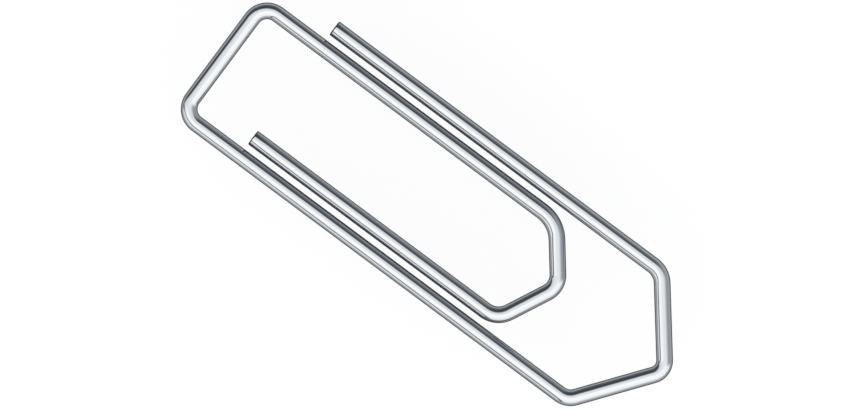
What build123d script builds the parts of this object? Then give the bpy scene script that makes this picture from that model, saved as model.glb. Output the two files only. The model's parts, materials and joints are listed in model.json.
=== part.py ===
from build123d import *
import os
from math import cos, radians, sin, tan

# A pointed paper clip, bent flat from one length of round drawn wire.
# The wire starts at a free end, runs up the outside to the outer point, returns down the long leg,
# crosses the square back, runs up the tongue's leg to the tongue's point and ends beside the long leg.
# The clip springs open because the wire twists in its short straight runs. It is cut square across the
# middle of three of them, the back bar and one slanted run at each point, and its four stretches turn
# there about the wire's own axis.
# X runs from the back to the points, Y across the legs, Z up from the table. Millimetres.
# The origin is on the table, at the middle of the overall length and width.

# Wire and overall sizes
wire_diameter = 1.0
overall_length = 33.0
overall_width = 10.46
leg_gap = 0.35  # clear gap between a free leg and the leg beside it
free_end_setback = 4.76  # from the outside of the back to both free ends
end_rounding = 0.08  # broken edge of the sheared ends

# Points. A slope is the angle between a slanted run and the clip's length.
outer_apex_offset = 0.08  # the outer point lies a little off the middle, on the side of the outer free leg
outer_free_slope_deg = 51.5  # run between the outer free leg and the outer point
outer_long_slope_deg = 52.5  # run between the outer point and the long leg
tongue_setback = 8.07  # from the outer point's tip to the tongue's tip
tongue_apex_offset = 0.34  # the tongue's point lies off the middle, on the side of the tongue's leg
tongue_leg_slope_deg = 51.7  # run between the tongue's leg and its point
tongue_free_slope_deg = 64.0  # run between the tongue's point and the inner free leg

# Inside radii of the bends, in the order that the wire meets them
outer_free_shoulder_radius = 0.87
outer_point_radius = 0.40
long_leg_shoulder_radius = 0.58
back_corner_radius = 0.59  # both corners of the square back
tongue_leg_shoulder_radius = 1.66
tongue_point_radius = 0.69
inner_free_shoulder_radius = 0.86

# Where a run is cut for its twist, as a share of its straight length
twist_share = 0.5

# Lines that the wire's centre follows
wire_radius = wire_diameter / 2
back_x = wire_radius - overall_length / 2
free_end_x = free_end_setback - overall_length / 2
outer_leg_y = overall_width / 2 - wire_radius
inner_leg_y = outer_leg_y - wire_diameter - leg_gap


def apex_x(tip_x, rise_deg, fall_deg, inside_radius):
    """Place of a point's sharp corner, so that the outside of its bend reaches tip_x."""
    bend_radius = inside_radius + wire_radius
    rise = radians(rise_deg)
    fall = radians(fall_deg)
    corner_to_centre = bend_radius * (cos(rise) + cos(fall)) / sin(rise + fall)
    return tip_x - wire_radius - bend_radius + corner_to_centre


def shoulder_x(point_x, slope_deg, drop):
    """Place of the shoulder where a run, sloping back from a point, has come down by drop."""
    return point_x - drop / tan(radians(slope_deg))


# Sharp corners of the centreline
outer_tip_x = overall_length / 2
outer_apex_x = apex_x(outer_tip_x, outer_free_slope_deg, outer_long_slope_deg, outer_point_radius)
outer_free_drop = outer_leg_y - outer_apex_offset
outer_long_drop = outer_leg_y + outer_apex_offset
outer_free_shoulder_x = shoulder_x(outer_apex_x, outer_free_slope_deg, outer_free_drop)
long_leg_shoulder_x = shoulder_x(outer_apex_x, outer_long_slope_deg, outer_long_drop)

tongue_tip_x = outer_tip_x - tongue_setback
tongue_apex_x = apex_x(tongue_tip_x, tongue_leg_slope_deg, tongue_free_slope_deg, tongue_point_radius)
tongue_leg_drop = inner_leg_y - tongue_apex_offset
tongue_free_drop = inner_leg_y + tongue_apex_offset
tongue_leg_shoulder_x = shoulder_x(tongue_apex_x, tongue_leg_slope_deg, tongue_leg_drop)
inner_free_shoulder_x = shoulder_x(tongue_apex_x, tongue_free_slope_deg, tongue_free_drop)

# Each bend: its corner, then its inside radius
bends = [
    (outer_free_shoulder_x, outer_leg_y, outer_free_shoulder_radius),
    (outer_apex_x, outer_apex_offset, outer_point_radius),
    (long_leg_shoulder_x, -outer_leg_y, long_leg_shoulder_radius),
    (back_x, -outer_leg_y, back_corner_radius),
    (back_x, inner_leg_y, back_corner_radius),
    (tongue_leg_shoulder_x, inner_leg_y, tongue_leg_shoulder_radius),
    (tongue_apex_x, tongue_apex_offset, tongue_point_radius),
    (inner_free_shoulder_x, -inner_leg_y, inner_free_shoulder_radius),
]
corners = [(x, y, wire_radius) for x, y, inside_radius in bends]
bend_radii = [inside_radius + wire_radius for x, y, inside_radius in bends]
first_end = (free_end_x, outer_leg_y, wire_radius)
last_end = (free_end_x, -inner_leg_y, wire_radius)

# The centreline of the whole wire, and the middle of each run that twists
centreline = FilletPolyline(first_end, *corners, last_end, radius=bend_radii)
runs = centreline.edges().sort_by(centreline).filter_by(GeomType.LINE)
free_leg, point_rise, point_fall, long_leg, back_bar, tongue_leg, tongue_rise, tongue_fall, inner_leg = runs
outer_twist = point_rise @ twist_share
back_twist = back_bar @ twist_share
tongue_twist = tongue_fall @ twist_share


def wire_stretch(start, end):
    """Round wire along the centreline between two places, cut square at both."""
    path = centreline.trim(start, end)
    section = Plane(origin=path @ 0, z_dir=path % 0) * Circle(wire_radius)
    return sweep(section, path=path)


def sheared(stretch):
    """Breaks the edge of a stretch's free end, which is its end nearest the back."""
    end_edge = stretch.edges().group_by(Axis.X)[0]
    return fillet(end_edge, end_rounding)


stretches = {
    "outer_free_leg": sheared(wire_stretch(first_end, outer_twist)),
    "outer_loop": wire_stretch(outer_twist, back_twist),
    "tongue": wire_stretch(back_twist, tongue_twist),
    "inner_free_leg": sheared(wire_stretch(tongue_twist, last_end)),
}

os.makedirs("parts", exist_ok=True)
for node, stretch in stretches.items():
    export_step(stretch, f"parts/{node}.step")
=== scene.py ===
import json
from math import atan2, ceil, radians, sin, tan

import bmesh
import bpy
from mathutils import Matrix, Vector


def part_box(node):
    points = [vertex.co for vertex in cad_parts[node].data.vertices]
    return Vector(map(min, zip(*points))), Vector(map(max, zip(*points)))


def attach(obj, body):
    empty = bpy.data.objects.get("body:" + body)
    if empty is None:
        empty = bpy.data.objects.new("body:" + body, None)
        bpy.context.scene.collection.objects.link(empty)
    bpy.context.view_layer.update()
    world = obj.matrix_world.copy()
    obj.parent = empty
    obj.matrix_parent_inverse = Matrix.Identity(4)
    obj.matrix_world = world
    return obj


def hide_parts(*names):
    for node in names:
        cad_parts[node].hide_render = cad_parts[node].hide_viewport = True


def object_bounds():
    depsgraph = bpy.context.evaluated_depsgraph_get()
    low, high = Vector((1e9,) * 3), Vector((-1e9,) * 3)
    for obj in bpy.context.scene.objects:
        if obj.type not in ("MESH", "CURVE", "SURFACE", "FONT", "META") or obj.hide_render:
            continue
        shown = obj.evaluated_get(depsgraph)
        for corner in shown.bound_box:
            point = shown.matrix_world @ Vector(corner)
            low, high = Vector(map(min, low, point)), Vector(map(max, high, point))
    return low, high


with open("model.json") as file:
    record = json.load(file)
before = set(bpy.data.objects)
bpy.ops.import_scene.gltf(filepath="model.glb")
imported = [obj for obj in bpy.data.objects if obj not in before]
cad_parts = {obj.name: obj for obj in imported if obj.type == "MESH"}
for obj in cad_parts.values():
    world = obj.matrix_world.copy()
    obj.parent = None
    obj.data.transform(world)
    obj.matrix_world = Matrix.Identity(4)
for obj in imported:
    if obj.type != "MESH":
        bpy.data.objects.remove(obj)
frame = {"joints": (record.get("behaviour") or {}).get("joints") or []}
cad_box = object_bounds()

# The outer free leg
# The outermost leg, its shoulder and half of the slanted run to the outer point, with a free end sheared
# square. The whole clip is one round drawn steel wire, plated bright before a wire former fed it
# straight and bent it flat round pins, so each stretch here is fed and bent in the same order.
MM = 0.001
OUTER_SHOULDER_RADIUS = 0.87 * MM
END_ROUNDING = 0.08 * MM
END_ROUNDING_STEPS = 4
BARE_LENGTH = 0.1 * MM          # faces that lie this close to a sheared end are bare steel, painted dark as shade
WIRE_SIDES = 64
RING_SPACING = 1.0 * MM
BEND_STEP = radians(5)
SHARP_EDGE = radians(35)        # faces that meet at more than this keep a sharp edge
SAME_RING = 0.0001 * MM         # points whose stations differ by less are on one ring

joints = {joint["name"]: joint for joint in frame["joints"]}
outer_twist = Vector(joints["outer_leg_spring"]["pos_m"])
outer_slope = Vector(joints["outer_leg_spring"]["axis"])
cad_low, cad_high = cad_box
free_low, free_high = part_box("outer_free_leg")
wire_radius = (cad_high.z - cad_low.z) / 2
wire_z = cad_low.z + wire_radius
outer_leg_y = free_high.y - wire_radius
free_end_x = free_low.x


def on_run(place, slope, y):
    """The point at y of the straight run that passes through a place along a slope."""
    return place + slope * ((y - place.y) / slope.y)


def start_wire(name, start, heading, station):
    """Sets up the first ring of a stretch; its station is how far along the straight wire it lies."""
    bpy.ops.object.select_all(action="DESELECT")
    bpy.ops.mesh.primitive_circle_add(vertices=WIRE_SIDES, radius=wire_radius, fill_type="NOTHING")
    piece = bpy.context.object
    piece.name = name
    piece.data.attributes.new("straight", "FLOAT_VECTOR", "POINT")
    piece.data.attributes.new("strain", "FLOAT", "POINT")
    piece.data.attributes.new("cut", "FLOAT", "FACE")
    for vertex, value in zip(piece.data.vertices, piece.data.attributes["straight"].data):
        value.vector = (vertex.co.x, vertex.co.y, station)
    piece.rotation_euler = heading.to_track_quat("Z", "Y").to_euler()
    piece.location = start
    bpy.ops.object.transform_apply(location=True, rotation=True, scale=True)
    bpy.ops.object.mode_set(mode="EDIT")
    bpy.ops.mesh.select_all(action="SELECT")
    return piece


def mark_ring(piece, station, bent):
    """Notes on the newest ring its station and how hard the wire is bent there."""
    mesh = bmesh.from_edit_mesh(piece.data)
    straight = mesh.verts.layers.float_vector["straight"]
    strain = mesh.verts.layers.float["strain"]
    for vertex in mesh.verts:
        if vertex.select:
            vertex[straight] = (*vertex[straight][:2], station)
            vertex[strain] = bent
    bmesh.update_edit_mesh(piece.data)


def feed_wire(piece, heading, length, station):
    """Feeds the wire straight on and gives the station that it reaches."""
    feeds = ceil(length / RING_SPACING)
    for _ in range(feeds):
        bpy.ops.mesh.extrude_region_move(TRANSFORM_OT_translate={"value": heading * (length / feeds)})
        station += length / feeds
        mark_ring(piece, station, 0.0)
    return station


def bend_wire(piece, pin, bend_radius, turn, station):
    """Bends the wire flat round a pin and gives the station that it reaches."""
    steps = ceil(abs(turn) / BEND_STEP)
    for step in range(1, steps + 1):
        # Spin turns clockwise about its axis, so the axis points down
        bpy.ops.mesh.spin(steps=1, angle=turn / steps, center=pin, axis=(0, 0, -1))
        station += bend_radius * abs(turn) / steps
        mark_ring(piece, station, wire_radius / bend_radius if step < steps else 0.0)
    return station


def form_wire(name, start, bends, end, station):
    """Feeds and bends a stretch from start to end; bends pairs each corner with its inside radius."""
    place = start.copy()
    heading = (bends[0][0] - start).normalized()
    piece = start_wire(name, start, heading, station)
    next_corners = [corner for corner, inside_radius in bends[1:]] + [end]
    for (corner, inside_radius), next_corner in zip(bends, next_corners):
        ahead = next_corner - corner
        turn = atan2(heading.cross(ahead).z, heading.dot(ahead))
        bend_radius = inside_radius + wire_radius
        length = (corner - place).length - bend_radius * tan(abs(turn) / 2)
        station = feed_wire(piece, heading, length, station)
        place += heading * length
        side = Vector((-heading.y, heading.x, 0)) * (1 if turn > 0 else -1)
        pin = place + side * bend_radius
        station = bend_wire(piece, pin, bend_radius, turn, station)
        whole_turn = Matrix.Rotation(turn, 3, "Z")
        place = pin + whole_turn @ (place - pin)
        heading = whole_turn @ heading
    station = feed_wire(piece, heading, (end - place).length, station)
    return piece, station


def close_end(piece, station, rounding=0.0):
    """Caps the open ring at a station; a free end also gets its edge rounded and marked as cut."""
    mesh = bmesh.from_edit_mesh(piece.data)
    straight = mesh.verts.layers.float_vector["straight"]
    bpy.ops.mesh.select_mode(type="VERT")
    bpy.ops.mesh.select_all(action="DESELECT")
    for vertex in mesh.verts:
        vertex.select = abs(vertex[straight].z - station) < SAME_RING
    mesh.select_flush(True)
    bmesh.update_edit_mesh(piece.data)
    bpy.ops.mesh.edge_face_add()
    if rounding:
        bpy.ops.mesh.select_mode(type="FACE")
        bpy.ops.mesh.region_to_loop()
        bpy.ops.mesh.bevel(offset=rounding, segments=END_ROUNDING_STEPS, affect="EDGES")
        mesh = bmesh.from_edit_mesh(piece.data)
        cut = mesh.faces.layers.float["cut"]
        for face in mesh.faces:
            if all(vertex.co.x - free_end_x < BARE_LENGTH for vertex in face.verts):
                face[cut] = 1.0
        bmesh.update_edit_mesh(piece.data)


def finish_wire(piece, material, body):
    """Shades the stretch, gives it its plating and lets it ride the body whose node it replaces."""
    bpy.ops.mesh.select_all(action="SELECT")
    bpy.ops.mesh.normals_make_consistent(inside=False)
    bpy.ops.object.mode_set(mode="OBJECT")
    bpy.ops.object.shade_smooth_by_angle(angle=SHARP_EDGE)
    piece.data.materials.append(material)
    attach(piece, body)
    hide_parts(body)


def to_linear(colour):
    """Linear red, green, blue and alpha of an sRGB hex colour."""
    channels = [int(colour[i:i + 2], 16) / 255 for i in (1, 3, 5)]
    linear = [c / 12.92 if c <= 0.04045 else ((c + 0.055) / 1.055) ** 2.4 for c in channels]
    return (*linear, 1.0)


def empty_tree(owner):
    """The node tree of a material or the world, with no node in it."""
    owner.use_nodes = True
    owner.node_tree.nodes.clear()
    return owner.node_tree


def add_node(tree, kind, inputs, **settings):
    """Adds a node with its settings; each input takes a value or the output that feeds it."""
    node = tree.nodes.new(kind)
    for setting, value in settings.items():
        setattr(node, setting, value)
    for socket, value in inputs.items():
        if isinstance(value, bpy.types.NodeSocket):
            tree.links.new(value, node.inputs[socket])
        else:
            node.inputs[socket].default_value = value
    return node


# Hard-drawn steel with a bright zinc plating, which mirrors clearly under a thin smoky blue film. The more
# slantwise the film is seen, the more light it takes, so the wire darkens towards its rims. The drawing die
# left fine lines along the wire and the bends are a little satin. The sheared ends are bare steel, painted
# dark as shade so that their rounded edge shows as a dark line.
PLATING = "#FDFAF7"
PLATING_RIM = "#202224"         # what is left of the mirroring where the plating is seen almost edge on
# The sheared ends' bare steel, painted much darker than bare steel so that the rounded end edge shows as a
# dark line: painted shade
BARE_STEEL_AND_PAINTED_SHADE = "#606366"
FILM = "#BDC1C5"
FILM_IOR = 1.004                # hardly bends light, so slanting light has a long way through the film
DIE_LINE = 0.06 * MM            # really about 0.01 mm, drawn coarser to show
DIE_LINE_LENGTH = 30 * MM
SHEAR_LINE = 0.04 * MM
SHEAR_LINE_LENGTH = 0.6 * MM
LINE_DEPTH = 0.0008 * MM
LINE_DETAIL = 2.0
SMUDGE = 4.0 * MM
SMUDGE_DETAIL = 3.0
LINE_SPAN = (0.3, 0.7)          # a span is where a pattern or the strain starts to roughen, and where it ends
SMUDGE_SPAN = (0.45, 0.7)
STRAIN_SPAN = (0.15, 0.6)
LINE_ROUGHNESS = (0.05, 0.1)
SMUDGE_ROUGHNESS = (0.0, 0.05)
BEND_ROUGHNESS = (0.0, 0.08)
SHEAR_ROUGHNESS = (0.25, 0.5)

plating = bpy.data.materials.new("bright_plated_wire")
tree = empty_tree(plating)
position = add_node(tree, "ShaderNodeTexCoord", {}).outputs["Object"]
straight = add_node(tree, "ShaderNodeAttribute", {}, attribute_name="straight").outputs["Vector"]
strain = add_node(tree, "ShaderNodeAttribute", {}, attribute_name="strain").outputs["Fac"]
cut = add_node(tree, "ShaderNodeAttribute", {}, attribute_name="cut").outputs["Fac"]

along_wire = add_node(tree, "ShaderNodeVectorMath", {
    0: straight, 1: (1 / DIE_LINE, 1 / DIE_LINE, 1 / DIE_LINE_LENGTH)}, operation="MULTIPLY")
die_lines = add_node(tree, "ShaderNodeTexNoise", {
    "Vector": along_wire.outputs["Vector"], "Scale": 1.0, "Detail": LINE_DETAIL}).outputs["Fac"]
across_end = add_node(tree, "ShaderNodeVectorMath", {
    0: position, 1: (1 / SHEAR_LINE_LENGTH, 1 / SHEAR_LINE, 1 / SHEAR_LINE_LENGTH)}, operation="MULTIPLY")
shear_lines = add_node(tree, "ShaderNodeTexNoise", {
    "Vector": across_end.outputs["Vector"], "Scale": 1.0, "Detail": LINE_DETAIL}).outputs["Fac"]
smudges = add_node(tree, "ShaderNodeTexNoise", {
    "Vector": position, "Scale": 1 / SMUDGE, "Detail": SMUDGE_DETAIL}).outputs["Fac"]

rough = {}
for cause, pattern, (starts, ends), (least, most) in (
    ("lines", die_lines, LINE_SPAN, LINE_ROUGHNESS),
    ("smudges", smudges, SMUDGE_SPAN, SMUDGE_ROUGHNESS),
    ("bends", strain, STRAIN_SPAN, BEND_ROUGHNESS),
    ("shear", shear_lines, LINE_SPAN, SHEAR_ROUGHNESS),
):
    rough[cause] = add_node(tree, "ShaderNodeMapRange", {
        "Value": pattern, "From Min": starts, "From Max": ends, "To Min": least, "To Max": most,
    }).outputs["Result"]
worn = rough["lines"]
for cause in ("smudges", "bends"):
    worn = add_node(tree, "ShaderNodeMath", {0: worn, 1: rough[cause]}, operation="ADD").outputs["Value"]

# A mix node has its two numbers at inputs 2 and 3, and its two colours at 6 and 7 with their mix at output 2
roughness = add_node(tree, "ShaderNodeMix", {0: cut, 2: worn, 3: rough["shear"]}).outputs[0]
relief = add_node(tree, "ShaderNodeMix", {0: cut, 2: die_lines, 3: shear_lines}).outputs[0]
# The cut faces take the bare steel colour, which is painted dark as shade along the sheared ends
colour = add_node(tree, "ShaderNodeMix", {
    0: cut, 6: to_linear(PLATING), 7: to_linear(BARE_STEEL_AND_PAINTED_SHADE)}, data_type="RGBA").outputs[2]
bump = add_node(tree, "ShaderNodeBump", {"Height": relief, "Distance": LINE_DEPTH})
surface = add_node(tree, "ShaderNodeBsdfPrincipled", {
    "Base Color": colour,
    "Metallic": 1.0,
    "Roughness": roughness,
    "Specular Tint": to_linear(PLATING_RIM),
    "Normal": bump.outputs["Normal"],
    "Coat Weight": 1.0,
    "Coat IOR": FILM_IOR,
    "Coat Tint": to_linear(FILM),
})
add_node(tree, "ShaderNodeOutputMaterial", {"Surface": surface.outputs["BSDF"]})

outer_free_end = Vector((free_end_x, outer_leg_y, wire_z))
outer_shoulder = on_run(outer_twist, outer_slope, outer_leg_y)
outer_bends = [(outer_shoulder, OUTER_SHOULDER_RADIUS)]
outer_leg, outer_end = form_wire("outer_free_leg_wire", outer_free_end, outer_bends, outer_twist, 0.0)
close_end(outer_leg, outer_end)
close_end(outer_leg, 0.0, END_ROUNDING)
finish_wire(outer_leg, plating, "outer_free_leg")

# The outer loop
# The other half of the slanted run, the outer point, the long leg and half of the square back, which the
# rest of the clip springs from. It goes on from the outer free leg in the same wire without a seam.
OUTER_APEX_Y = 0.08 * MM
OUTER_FALL = radians(52.5)
OUTER_POINT_RADIUS = 0.40 * MM
LONG_SHOULDER_RADIUS = 0.58 * MM
BACK_CORNER_RADIUS = 0.59 * MM

loop_low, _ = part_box("outer_loop")
long_leg_y = loop_low.y + wire_radius
back_x = loop_low.x + wire_radius
back_twist = Vector(joints["tongue_spring"]["pos_m"])
outer_apex = on_run(outer_twist, outer_slope, OUTER_APEX_Y)
long_shoulder = outer_apex + Vector((-1 / tan(OUTER_FALL), -1, 0)) * (OUTER_APEX_Y - long_leg_y)
loop_bends = [
    (outer_apex, OUTER_POINT_RADIUS),
    (long_shoulder, LONG_SHOULDER_RADIUS),
    (Vector((back_x, long_leg_y, wire_z)), BACK_CORNER_RADIUS),
]
outer_loop, loop_end = form_wire("outer_loop_wire", outer_twist, loop_bends, back_twist, outer_end)
close_end(outer_loop, loop_end)
close_end(outer_loop, outer_end)
finish_wire(outer_loop, plating, "outer_loop")

# The tongue
# The rest of the square back, the tongue's leg, its wide shoulder and its blunt point, off the middle
# towards the leg. It lies in the outer loop's plane and springs out of it to let the paper in.
TONGUE_APEX_Y = 0.34 * MM
TONGUE_RISE = radians(51.7)
TONGUE_SHOULDER_RADIUS = 1.66 * MM
TONGUE_POINT_RADIUS = 0.69 * MM

_, tongue_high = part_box("tongue")
tongue_leg_y = tongue_high.y - wire_radius
tongue_twist = Vector(joints["inner_leg_spring"]["pos_m"])
tongue_fall = Vector(joints["inner_leg_spring"]["axis"])
tongue_apex = on_run(tongue_twist, tongue_fall, TONGUE_APEX_Y)
tongue_shoulder = tongue_apex + Vector((-1 / tan(TONGUE_RISE), 1, 0)) * (tongue_leg_y - TONGUE_APEX_Y)
tongue_bends = [
    (Vector((back_x, tongue_leg_y, wire_z)), BACK_CORNER_RADIUS),
    (tongue_shoulder, TONGUE_SHOULDER_RADIUS),
    (tongue_apex, TONGUE_POINT_RADIUS),
]
tongue, tongue_end = form_wire("tongue_wire", back_twist, tongue_bends, tongue_twist, loop_end)
close_end(tongue, tongue_end)
close_end(tongue, loop_end)
finish_wire(tongue, plating, "tongue")

# The inner free leg
# The last slanted run of the tongue, its shoulder and the leg that lies close beside the long leg. The
# same wire again, sheared square at the same distance from the back as the outer free leg.
INNER_SHOULDER_RADIUS = 0.86 * MM

inner_low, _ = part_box("inner_free_leg")
inner_leg_y = inner_low.y + wire_radius
inner_free_end = Vector((free_end_x, inner_leg_y, wire_z))
inner_shoulder = on_run(tongue_twist, tongue_fall, inner_leg_y)
inner_bends = [(inner_shoulder, INNER_SHOULDER_RADIUS)]
inner_leg, inner_end = form_wire("inner_free_leg_wire", tongue_twist, inner_bends, inner_free_end, tongue_end)
close_end(inner_leg, tongue_end)
close_end(inner_leg, inner_end, END_ROUNDING)
finish_wire(inner_leg, plating, "inner_free_leg")

# The floor
# A wide sheet of plain matt white card, lit through from below, so that it is seen and mirrored as white.
# It lies a few millimetres below the clip, so that the tongue can spring down as far as it springs up.
FLOOR_SIZE = 8000 * MM
FLOOR_CLEARANCE = 0.8 * MM
CARD = "#F0F0F0"
LIGHT_BELOW = "#FFFFFF"
LIGHT_BELOW_SHARE = 0.86        # the rest of what is seen is the studio's light, with the clip's faint shadow

tongue_limit = radians(joints["tongue_spring"]["range_deg"][1])
tongue_dip = (tongue_high.x - back_twist.x) * sin(tongue_limit)
floor_z = cad_low.z - tongue_dip - FLOOR_CLEARANCE
bpy.ops.object.select_all(action="DESELECT")
bpy.ops.mesh.primitive_plane_add(size=FLOOR_SIZE, location=(0, 0, floor_z))
floor = bpy.context.object
floor.name = "white_card_floor"

card = bpy.data.materials.new("matt_white_card")
tree = empty_tree(card)
matt = add_node(tree, "ShaderNodeBsdfDiffuse", {"Color": to_linear(CARD)})
white = add_node(tree, "ShaderNodeEmission", {"Color": to_linear(LIGHT_BELOW), "Strength": 1.0})
ray = add_node(tree, "ShaderNodeLightPath", {})
mirrored = add_node(tree, "ShaderNodeMath", {
    0: ray.outputs["Is Glossy Ray"], 1: ray.outputs["Is Transmission Ray"]}, operation="MAXIMUM")
seen = add_node(tree, "ShaderNodeMath", {
    0: ray.outputs["Is Camera Ray"], 1: mirrored.outputs["Value"]}, operation="MAXIMUM")
light_below = add_node(tree, "ShaderNodeMath", {
    0: seen.outputs["Value"], 1: LIGHT_BELOW_SHARE}, operation="MULTIPLY")
lit_card = add_node(tree, "ShaderNodeMixShader", {
    0: light_below.outputs["Value"], 1: matt.outputs["BSDF"], 2: white.outputs["Emission"]})
add_node(tree, "ShaderNodeOutputMaterial", {"Surface": lit_card.outputs["Shader"]})
floor.data.materials.append(card)

# The light
# A studio that the bright wire mirrors: a broad white sheet overhead and on the near side, a dark flag on the
# far side, a grey card low at the right, and a pale reflector in a dark frame low at the left.
PICTURE_TURN = radians(36.66)
FAR = radians(82)               # level directions, from the picture's right towards its top
RIGHT = radians(-24)
LEFT = radians(210)
SHEET_AND_FLAG = [              # degrees from overhead towards the far side, and the level there
    (-90, 0.55), (-82, 0.72), (-66, 0.95), (-55, 1.0), (-8, 1.0), (-1, 0.8), (12, 0.76),
    (25, 0.68), (35, 0.07), (62, 0.05), (76, 0.13), (90, 0.12),
]
RIGHT_CARD = 0.36               # levels of the cards, as of the sheet
LEFT_FRAME = 0.1
LEFT_REFLECTOR = 0.85
RIGHT_EDGE = (-0.3, 0.5)        # an edge is two cosines of the angle from its side: none yet, and all there
RIGHT_EDGE_LEAN = -0.6          # draws the card's edge back to the right as it goes up
RIGHT_NEAR_EDGE = (-0.2, 0.0)
FRAME_EDGE = (0.68, 0.76)
REFLECTOR_EDGE = (0.81, 0.85)
COOLNESS = 0.06                 # the darker a stretch of the studio is, the cooler it looks
STUDIO_STRENGTH = 1.9           # over 1 because the far side is dark and the wire's film takes light


def picture_direction(angle):
    """The level direction at an angle from the picture's right, turning towards its top."""
    return Matrix.Rotation(PICTURE_TURN + angle, 3, "Z") @ Vector((1, 0, 0))


def studio_colour(level):
    """Linear colour of a stretch of the studio, neutral where it is white and cooler as it darkens."""
    return (level ** (1 + COOLNESS), level, level ** (1 - COOLNESS), 1.0)


world = bpy.data.worlds.new("studio")
bpy.context.scene.world = world
tree = empty_tree(world)
direction = add_node(tree, "ShaderNodeTexCoord", {}).outputs["Generated"]
height = add_node(tree, "ShaderNodeSeparateXYZ", {0: direction}).outputs["Z"]
far, right, left = [
    add_node(tree, "ShaderNodeVectorMath", {
        0: direction, 1: picture_direction(angle)}, operation="DOT_PRODUCT").outputs["Value"]
    for angle in (FAR, RIGHT, LEFT)
]

near_end, far_end = SHEET_AND_FLAG[0][0], SHEET_AND_FLAG[-1][0]
tilt = add_node(tree, "ShaderNodeMath", {0: far, 1: height}, operation="ARCTAN2").outputs["Value"]
across = add_node(tree, "ShaderNodeMapRange", {
    "Value": tilt, "From Min": radians(near_end), "From Max": radians(far_end)}).outputs["Result"]
bands = add_node(tree, "ShaderNodeValToRGB", {"Fac": across})
elements = bands.color_ramp.elements
for degrees, level in SHEET_AND_FLAG[1:-1]:
    elements.new((degrees - near_end) / (far_end - near_end))
for element, (degrees, level) in zip(elements, SHEET_AND_FLAG):
    element.color = studio_colour(level)

leaning = add_node(tree, "ShaderNodeMath", {
    0: height, 1: RIGHT_EDGE_LEAN, 2: right}, operation="MULTIPLY_ADD").outputs["Value"]
right_edge, right_near_edge, frame_edge, reflector_edge = [
    add_node(tree, "ShaderNodeMapRange", {
        "Value": side, "From Min": none_yet, "From Max": all_there,
    }, interpolation_type="SMOOTHSTEP").outputs["Result"]
    for side, (none_yet, all_there) in (
        (leaning, RIGHT_EDGE), (far, RIGHT_NEAR_EDGE), (left, FRAME_EDGE), (left, REFLECTOR_EDGE))
]
right_card = add_node(tree, "ShaderNodeMath", {
    0: right_edge, 1: right_near_edge}, operation="MULTIPLY").outputs["Value"]
studio = bands.outputs["Color"]
for card_share, level in (
    (right_card, RIGHT_CARD), (frame_edge, LEFT_FRAME), (reflector_edge, LEFT_REFLECTOR)
):
    studio = add_node(tree, "ShaderNodeMix", {
        0: card_share, 6: studio, 7: studio_colour(level)}, data_type="RGBA").outputs[2]
background = add_node(tree, "ShaderNodeBackground", {"Color": studio, "Strength": STUDIO_STRENGTH})
add_node(tree, "ShaderNodeOutputWorld", {"Surface": background.outputs["Background"]})

# The camera
# Square above the clip with a long lens, turned so that the clip lies across the picture as in the photo.
LENS = 300                      # millimetres, as Blender counts a lens and its sensor
SENSOR_WIDTH = 36
NEAREST_SEEN = 10 * MM
FARTHEST_SEEN = 10000 * MM
PICTURE_WIDTH = 50.79 * MM
PICTURE_MIDDLE_X = -1.033 * MM
PICTURE_MIDDLE_Y = -0.419 * MM

camera_data = bpy.data.cameras.new("camera")
camera_data.lens = LENS
camera_data.sensor_width = SENSOR_WIDTH
camera_data.clip_start = NEAREST_SEEN
camera_data.clip_end = FARTHEST_SEEN
camera = bpy.data.objects.new("camera", camera_data)
camera_height = PICTURE_WIDTH * LENS / SENSOR_WIDTH
camera.location = (PICTURE_MIDDLE_X, PICTURE_MIDDLE_Y, wire_z + camera_height)
camera.rotation_euler = (0, 0, PICTURE_TURN)
bpy.context.scene.collection.objects.link(camera)
bpy.context.scene.camera = camera
bpy.context.scene.view_settings.view_transform = "Standard"
